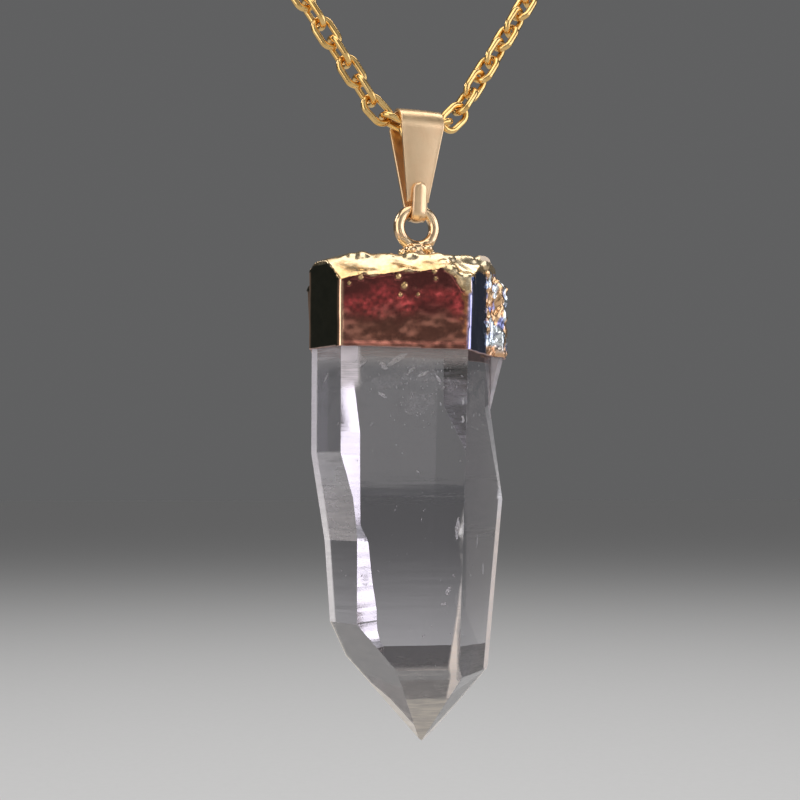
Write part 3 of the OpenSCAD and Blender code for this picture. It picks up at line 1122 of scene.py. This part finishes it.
def add_ball(work, place, radius, squeeze=1.0):
    matrix = Matrix.Translation(place) @ Matrix.Diagonal((radius, radius, radius * squeeze, 1))
    bmesh.ops.create_icosphere(work, subdivisions=3, radius=1, matrix=matrix)


def crumple(x, y, z):
    """Sharp folds, as in crushed foil, from about -1 to 1."""
    a = 1 - 3 * abs(noise.noise((x * 0.75, y * 0.75, z * 0.55 + 30)))
    b = 1 - 3 * abs(noise.noise((x * 1.7, y * 1.7, z * 1.3 + 11)))
    return 0.7 * a + 0.4 * b


def on_side_growth(x, z):
    """Whether a point of the plating lies over that small crystal."""
    return x > 6.6 and z < -1.2


def band_cover(x, z, n):
    """1 where the thick pale band of plating lies, and 0 below it."""
    way = facing(n)
    if near_way(way, FRONT, CAP_WITHIN) and n.z < 0.6:
        edge = table_at(BAND_EDGE, x)
    elif near_way(way, LEFT, CAP_WITHIN):
        edge = -1.0
    else:
        edge = -1.7
    edge += 0.25 * noise.noise((x * 1.1, z * 0.4, way * 0.02))
    return clamped(max((z - edge) / 0.22 + 0.5, (n.z - 0.22) / 0.1))


def speck_cover(x, z, n):
    """1 at the middle of a bead of gold on the front, and 0 outside it."""
    if not near_way(facing(n), FRONT, CAP_WITHIN):
        return 0.0
    return max(max(0.0, 1 - ((x - a) ** 2 + (z - b) ** 2) / r ** 2) for a, b, r in SPECKS)


def lumpy_block(edges):
    """The grown stone above the rim, with balls of metal along its top edges, melted together."""
    rng = random.Random(5)
    block = grown_stone(PLATE_MM)
    bmesh.ops.contextual_create(block, geom=cut_below_rim(block, 0.8))
    bmesh.ops.recalc_face_normals(block, faces=block.faces)
    backwards = (from_stone(0, 1, 0) - AXIS) / MM
    for place, high, inward in edges:
        x, y, z = in_stone(place)
        if not high or rng.random() > LUMP_SHARE:
            continue
        radius = rng.uniform(*LUMP_MM) * MM
        if y < -7.3 and -7.6 < x < 4.2:
            # beads on the front slope stay behind the front face
            add_ball(block, place + backwards * radius, radius, rng.uniform(0.8, 1))
        elif z > -0.9 or (y > 0 and x > -7 and z > -2.2):
            add_ball(block, place + inward * radius * rng.uniform(0.72, 0.82), radius, rng.uniform(0.7, 0.95))
    piece = object_from("plated_cap", block)
    melt(piece, CAP_VOXEL_MM)
    return piece


def plating_out(x, y, z, n, gap):
    """How far the plating stands out, in mm: waves, lumps of the band, beads and side growth."""
    cover = band_cover(x, z, n)
    lumps = noise_at(x, y, z, 0.55) + 0.06 * noise_at(x, y, z, 1.9, 9)
    wave = noise_at(x, y, z, 0.45, 3) + 0.3 * noise_at(x, y, z, 1.5)
    out = 0.035 * wave + cover * (0.10 + 0.22 * lumps) + 0.13 * speck_cover(x, z, n)
    if on_side_growth(x, z):
        out += 0.26 * crumple(x, y, z) - 0.02
    elif gap < 0.5 and not cover:
        out += 0.02 * lumps
    return out


def close_shell(work):
    """Closes the plating by an inner wall just inside the stone's skin. Gives its outer points' count."""
    rim_edges = [e for e in work.edges if e.is_boundary]
    # the rim wanders a little
    for vert in {v for e in rim_edges for v in e.verts}:
        x, y, z = in_stone(vert.co)
        vert.co.z += 0.12 * MM * noise.noise((x * 0.8, y * 0.8, 7))
    inner = grown_stone(-INSIDE_MM)
    surface = BVHTree.FromBMesh(inner)
    inner.free()
    outer = list(work.verts)
    partner = {vert: work.verts.new(surface.find_nearest(vert.co)[0]) for vert in outer}
    for face in list(work.faces):
        work.faces.new([partner[v] for v in reversed(face.verts)])
    for edge in rim_edges:
        a, b = edge.verts
        order = list(edge.link_faces[0].verts)
        if order[(order.index(a) + 1) % len(order)] != b:
            a, b = b, a
        work.faces.new((b, a, partner[a], partner[b]))
    return len(outer)


def build_cap():
    edges = cap_edges()
    piece = lumpy_block(edges)
    tree = KDTree(len(edges))
    for i, row in enumerate(edges):
        tree.insert(row[0], i)
    tree.balance()
    work = bmesh.new()
    work.from_mesh(piece.data)
    cut_below_rim(work)
    work.normal_update()
    moves = []
    for vert in work.verts:
        gap = tree.find(vert.co)[2] / MM
        out = plating_out(*in_stone(vert.co), vert.normal, gap)
        moves.append((vert, vert.normal * out * MM))
    move_all(moves)
    outer_count = close_shell(work)
    work.to_mesh(piece.data)
    work.free()
    piece.data.shade_smooth()
    paint_cap(piece.data, tree, edges, outer_count)
    return piece


def front_tone(x, z, fine, wander):
    """The front face's colours: red clouds over dark red, brown below, orange at its right border and a
    painted rosy highlight along the rim.
    """
    base = blend(DARK_RED, BROWN, (-z - 5.6 + 0.8 * wander) / 1.6)
    red = sum(w * math.exp(-((x - a) / b) ** 2 - ((z - up) / h) ** 2) for a, up, b, h, w in RED_CLOUDS)
    base = blend(base, RED, red * (0.75 + 0.9 * fine + 0.4 * wander))
    base = blend(base, ORANGE, (x - 3.3 + 0.5 * fine) / 0.5 - max(0, -z - 7.5))
    # a painted highlight: a thin rosy line just above the rim
    return blend(base, ROSY_RIM_HIGHLIGHT, 1 - abs(z + 9.1) / 0.25)


def paint_cap(mesh, tree, edges, outer_count):
    """Stores the plating's tone at each point, painted highlights and shade included, and how lumpy the metal
    is there.
    """
    tones, lumps, inner = [], [], []
    for i, vert in enumerate(mesh.vertices):
        inner.append(float(i >= outer_count))
        x, y, z = in_stone(vert.co)
        n = vert.normal
        if i >= outer_count:
            tones.extend((*blend(INNER_WALL, INNER_TOP, (z + 5.5) / 4), 1.0))
            lumps.append(1.0)
            continue
        way = facing(n)
        front = near_way(way, FRONT, CAP_WITHIN)
        wander = noise_at(x, y, z, 0.9, 20)
        fine = noise_at(x, y, z, 2.6, 5)
        base = SIDE_TONES[round(way / 60) * 60 % 360]
        if front:
            base = front_tone(x, z, fine, wander)
        elif near_way(way, BACK, 40) or near_way(way, BACK_RIGHT, 20):
            base = blend(base, RED, 1.4 * (wander - 0.1))
        cover = band_cover(x, z, n)
        # the band is the plating's gold, painted lighter cream towards its top as a painted highlight
        low = (z - (table_at(BAND_EDGE, x) if front else -1.4)) / 1.1
        pale = blend(GOLD, CREAM_HIGHLIGHT, 0.15 + 0.8 * low + 0.7 * fine)
        index, gap = tree.find(vert.co)[1:]
        # painted highlights: the upright edges are painted peach on the left and lavender elsewhere, as
        # reflected lamps
        if not edges[index][1]:
            base = blend(base, PEACH_EDGE_HIGHLIGHT if x < -2 else LAVENDER_EDGE_HIGHLIGHT, 1.7 - gap / MM / 0.26)
        base = blend(base, pale, cover)
        base = blend(base, GOLD, 2 * speck_cover(x, z, n))
        side = on_side_growth(x, z)
        if side:
            # painted highlight and shade: the crinkles are silver on their raised crests and steel blue in
            # their folds; the copper patches below are the plating's own
            base = blend(FOLD_SHADE_BLUE, CREST_HIGHLIGHT_SILVER, (crumple(x, y, z) + 0.1) / 0.5)
            base = blend(base, COPPER, (wander + 0.02) / 0.12)
            base = blend(base, DULL_COPPER, 0.7 * (-z - 8.2 + 2 * wander) / 0.8)
        tones.extend((*base, 1.0))
        lumps.append(min(1.0, cover + (1 if side else 0)))
    store(mesh, "tone", "FLOAT_COLOR", "POINT", tones)
    store(mesh, "lumpy", "FLOAT", "POINT", lumps)
    store(mesh, "inner", "FLOAT", "POINT", inner)


def plating_material():
    """Mirror-bright plating outside, and its dull back where it lies on the stone."""
    shader = Shader("cap_plating")
    tone = shader.attribute("tone", "Color")
    lumpy = shader.attribute("lumpy")
    inner = shader.attribute("inner")
    speck = shader.noise(2600, 4, 0.7)
    fleck = shader.ramp(speck, ((0.66, 0.0), (0.76, 1.0)))
    mottle = shader.noise(900, 5, 0.7, distortion=0.6)
    deep = shader.mix(shader.ramp(mottle, ((0.35, 0.0), (0.7, 1.0))), (0.8, 0.8, 0.8), (1.15, 1.08, 1.06))
    toned = shader.mix(1.0, tone, deep, "MULTIPLY")
    shader.put("Base_Color", shader.mix(shader.times(fleck, 0.3), toned, (0.85, 0.55, 0.32)))
    shader.put("Metallic", shader.math("SUBTRACT", 1.0, inner))
    fine = shader.noise(6000, 3, 0.6)
    rough = shader.line(lumpy, 0.1, shader.times(fine, 0.26))
    shader.put("Roughness", shader.line(inner, 0.5, rough))
    shader.bump(shader.line(speck, 0.25, shader.times(fine, 0.1)), 0.00003, 0.3)
    return shader.material


# Eye: the wire ring, its solder collar and beads of solder, joined into one skin

EYE_RING_MM = 1.93
EYE_WIRE_MM = 0.6
EYE_AROUND = 72
EYE_ACROSS = 20
COLLAR_BEADS = [
    # degrees round the collar, out and up from its foot, radius in mm
    (-48, 1.55, 1.35, 0.62), (-60, 1.75, 0.45, 0.58), (-22, 1.75, 0.35, 0.5), (30, 1.6, 1.5, 0.66),
    (48, 1.75, 0.6, 0.55), (14, 1.8, 0.35, 0.48), (80, 1.6, 1.2, 0.55), (105, 1.6, 0.5, 0.55),
    (140, 1.6, 1.3, 0.6), (165, 1.7, 0.4, 0.55), (195, 1.6, 1.2, 0.6), (225, 1.7, 0.5, 0.55),
    (250, 1.55, 1.3, 0.58), (272, 1.65, 0.5, 0.52),
]
BEADS_INWARD_MM = 0.15
EYE_VOXEL_MM = 0.07


def build_eye():
    work = bmesh.new()
    verts = []
    for t in turns(EYE_AROUND):
        for a in turns(EYE_ACROSS):
            r = EYE_RING_MM + EYE_WIRE_MM * math.cos(a)
            spot = Vector((r * math.cos(t), EYE_WIRE_MM * math.sin(a), r * math.sin(t)))
            verts.append(work.verts.new(RING + spot * MM))
    for face in tube_faces(EYE_AROUND, EYE_ACROSS):
        work.faces.new([verts[i] for i in face])
    foot = CAP_TOP - 0.15 * MM
    top = RING.z - 1.85 * MM
    middle = Vector((RING.x, RING.y, (foot + top) / 2))
    bmesh.ops.create_cone(work, cap_ends=True, segments=40, radius1=1.65 * MM, radius2=1.2 * MM,
                          depth=top - foot, matrix=Matrix.Translation(middle))
    for turn, out, rise, radius in COLLAR_BEADS:
        t = math.radians(turn - 90)
        r = (out - BEADS_INWARD_MM) * MM
        place = Vector((RING.x + r * math.cos(t), RING.y + r * math.sin(t), foot + rise * MM))
        add_ball(work, place, radius * MM, 0.8)
    bmesh.ops.recalc_face_normals(work, faces=work.faces)
    piece = object_from("soldered_eye", work)
    melt(piece, EYE_VOXEL_MM)
    for vert in piece.data.vertices:
        place = (vert.co - RING) / MM
        low = 1.0 if place.z < -1.2 else 0.2
        vert.co += vert.normal * noise_at(*place, 1.5) * 0.07 * low * MM
    piece.data.shade_smooth()
    return piece


# Stage, studio and lights

FLOOR_DROP = 0.16
FLOOR_HALF = 30
FLOOR_BOX_UP = 1.3
FLOOR_BOX_SIDE = 1.7
BACK_GREY = 0.12
FRONT_GLOW = 0.6
EVEN_LIGHT = 0.10

# Soft boxes that light the pendant alone
SOFTBOXES = [
    # name, azimuth and elevation in degrees, distance, size, glow, colour
    ("key_box", -25, 58, 0.6, (0.45, 0.3), 1.6, (1, 0.96, 0.9)),
    ("top_box", -20, 88, 0.6, (0.4, 0.4), 1.8, (1, 0.97, 0.92)),
    ("front_box", -4, 3, 0.6, (0.25, 0.07), 1.0, (1, 0.97, 0.94)),
    ("left_box", -62, 14, 0.5, (0.34, 0.45), 1.8, (1, 0.93, 0.86)),
    ("window_box", 42, 8, 0.6, (0.30, 0.30), 1.7, (0.97, 0.92, 1)),
    ("right_box", 72, 14, 0.5, (0.22, 0.45), 1.8, (0.84, 0.89, 1)),
    ("back_left_box", -118, 38, 0.6, (0.2, 0.2), 4.0, (0.96, 0.95, 1)),
    ("back_right_box", 108, 58, 0.6, (0.2, 0.2), 3.0, (1, 0.95, 0.9)),
]


def build_stage():
    """A pale floor well below the pendant, so that the chain and stone hang clear of it."""
    signs = ((-1, -1), (1, -1), (1, 1), (-1, 1))
    corners = [(x * FLOOR_HALF, y * FLOOR_HALF, RING.z - FLOOR_DROP) for x, y in signs]
    mesh = mesh_from("floor", corners, [(0, 1, 2, 3)], smooth=False)
    floor = new_object("floor", mesh)
    shader = Shader("floor_paint", Specular_IOR_Level=0.0, Roughness=1.0)
    grain = shader.noise(300, 3)
    shader.put("Base_Color", shader.mix(grain, (0.615, 0.61, 0.605), (0.645, 0.64, 0.635)))
    mesh.materials.append(shader.material)


def build_world():
    """A soft grey studio with a broad glow in front of the pendant, low above the floor."""
    world = bpy.data.worlds.new("studio")
    world.use_nodes = True
    bpy.context.scene.world = world
    nodes = Nodes(world.node_tree)
    way = nodes.add("ShaderNodeSeparateXYZ", {0: nodes.add("ShaderNodeTexCoord").outputs["Generated"]})

    def ranged(axis, *limits):
        inputs = dict(zip(("From Min", "From Max", "To Min", "To Max"), limits), Value=way.outputs[axis])
        return nodes.add("ShaderNodeMapRange", inputs, interpolation_type="SMOOTHSTEP").outputs[0]

    front = ranged("Y", -0.1, -0.8, 0, FRONT_GLOW)
    rise = ranged("Z", 0, 0.2, 0, 1)
    fall = ranged("Z", 0.45, 0.75, 1, 0)
    side = ranged("X", 0.0, 0.3, 0.3, 1)
    glow = nodes.times(nodes.times(front, side), nodes.times(rise, fall))
    back = nodes.tree.nodes["Background"]
    nodes.feed(back.inputs["Strength"], nodes.math("ADD", glow, BACK_GREY))
    nodes.feed(back.inputs["Color"], (0.98, 0.985, 1))


def area_light(name, place, aim, size, glow, colour):
    """A soft box. Its glow is how bright its face looks beside white."""
    data = bpy.data.lights.new(name, "AREA")
    data.shape = "RECTANGLE"
    data.size, data.size_y = size
    data.energy = glow * math.pi * size[0] * size[1]
    data.color = colour
    light = new_object(name, data)
    light.location = place
    light.rotation_euler = (aim - place).to_track_quat("-Z", "Y").to_euler()
    light.visible_camera = False
    return light


def light_only(light, name):
    light.light_linking.receiver_collection = bpy.data.collections[name]


def build_lights():
    pendant = bpy.data.collections.new("pendant")
    ground = bpy.data.collections.new("ground")
    for piece in bpy.context.scene.objects:
        if piece.type == "MESH":
            (ground if piece.name == "floor" else pendant).objects.link(piece)
    aim = RING + Vector((0, 0, -0.02))
    for name, azimuth, elevation, distance, size, glow, colour in SOFTBOXES:
        place = aim + distance * way_at(math.radians(azimuth), math.radians(elevation))
        light_only(area_light(name, place, aim, size, glow, colour), "pendant")
    below = Vector((RING.x, RING.y, RING.z - FLOOR_DROP))
    above = below + Vector((0, 0, FLOOR_BOX_UP))
    size = (FLOOR_BOX_SIDE, FLOOR_BOX_SIDE)
    light_only(area_light("floor_box", above, below, size, 2.3, (1, 1, 1)), "ground")
    # an even, weak light brings the far floor to the grey of the studio behind it
    data = bpy.data.lights.new("even_light", "SUN")
    data.energy = EVEN_LIGHT
    data.angle = 1.0
    light_only(new_object("even_light", data), "ground")


make_camera()

chain_gold = gold("chain_gold", (0.90, 0.62, 0.26), (0.78, 0.48, 0.16), 0.2)
bail_gold = gold("bail_gold", (0.96, 0.71, 0.44), (0.91, 0.62, 0.36), 0.32, 0.6, 0.25)
eye_gold = gold("eye_gold", (0.90, 0.68, 0.42), (0.76, 0.50, 0.30), 0.18)
for node, seed in (("chain_left", 3), ("chain_right", 8)):
    finish_piece(build_chain(node, seed), chain_gold, "chain", [node])
finish_piece(build_bail(), bail_gold, "bail", ["bail"])
NODES["clasp"].data.materials.clear()
NODES["clasp"].data.materials.append(chain_gold)
finish_piece(build_stone(), quartz_material(), "drop", ["crystal"])
haze_white = veil_material("haze_white", 1500, ((0.42, 0.0), (0.58, 0.12), (0.75, 0.4)))
veil_white = veil_material("veil_white", 3200, ((0.32, 0.05), (0.46, 0.55), (0.6, 1.0)))
fleck_white = veil_material("fleck_white", 9000, ((0.3, 0.35), (0.6, 0.75)))
finish_piece(build_veils("stone_hazes", HAZES, 12), haze_white, "drop")
finish_piece(build_veils("stone_veils", VEILS, 7), veil_white, "drop")
finish_piece(build_flecks(), fleck_white, "drop")
finish_piece(build_cap(), plating_material(), "drop", ["cap"])
finish_piece(build_eye(), eye_gold, "drop", ["cap"])

build_stage()
build_world()
build_lights()
bpy.context.scene.view_settings.view_transform = "Standard"
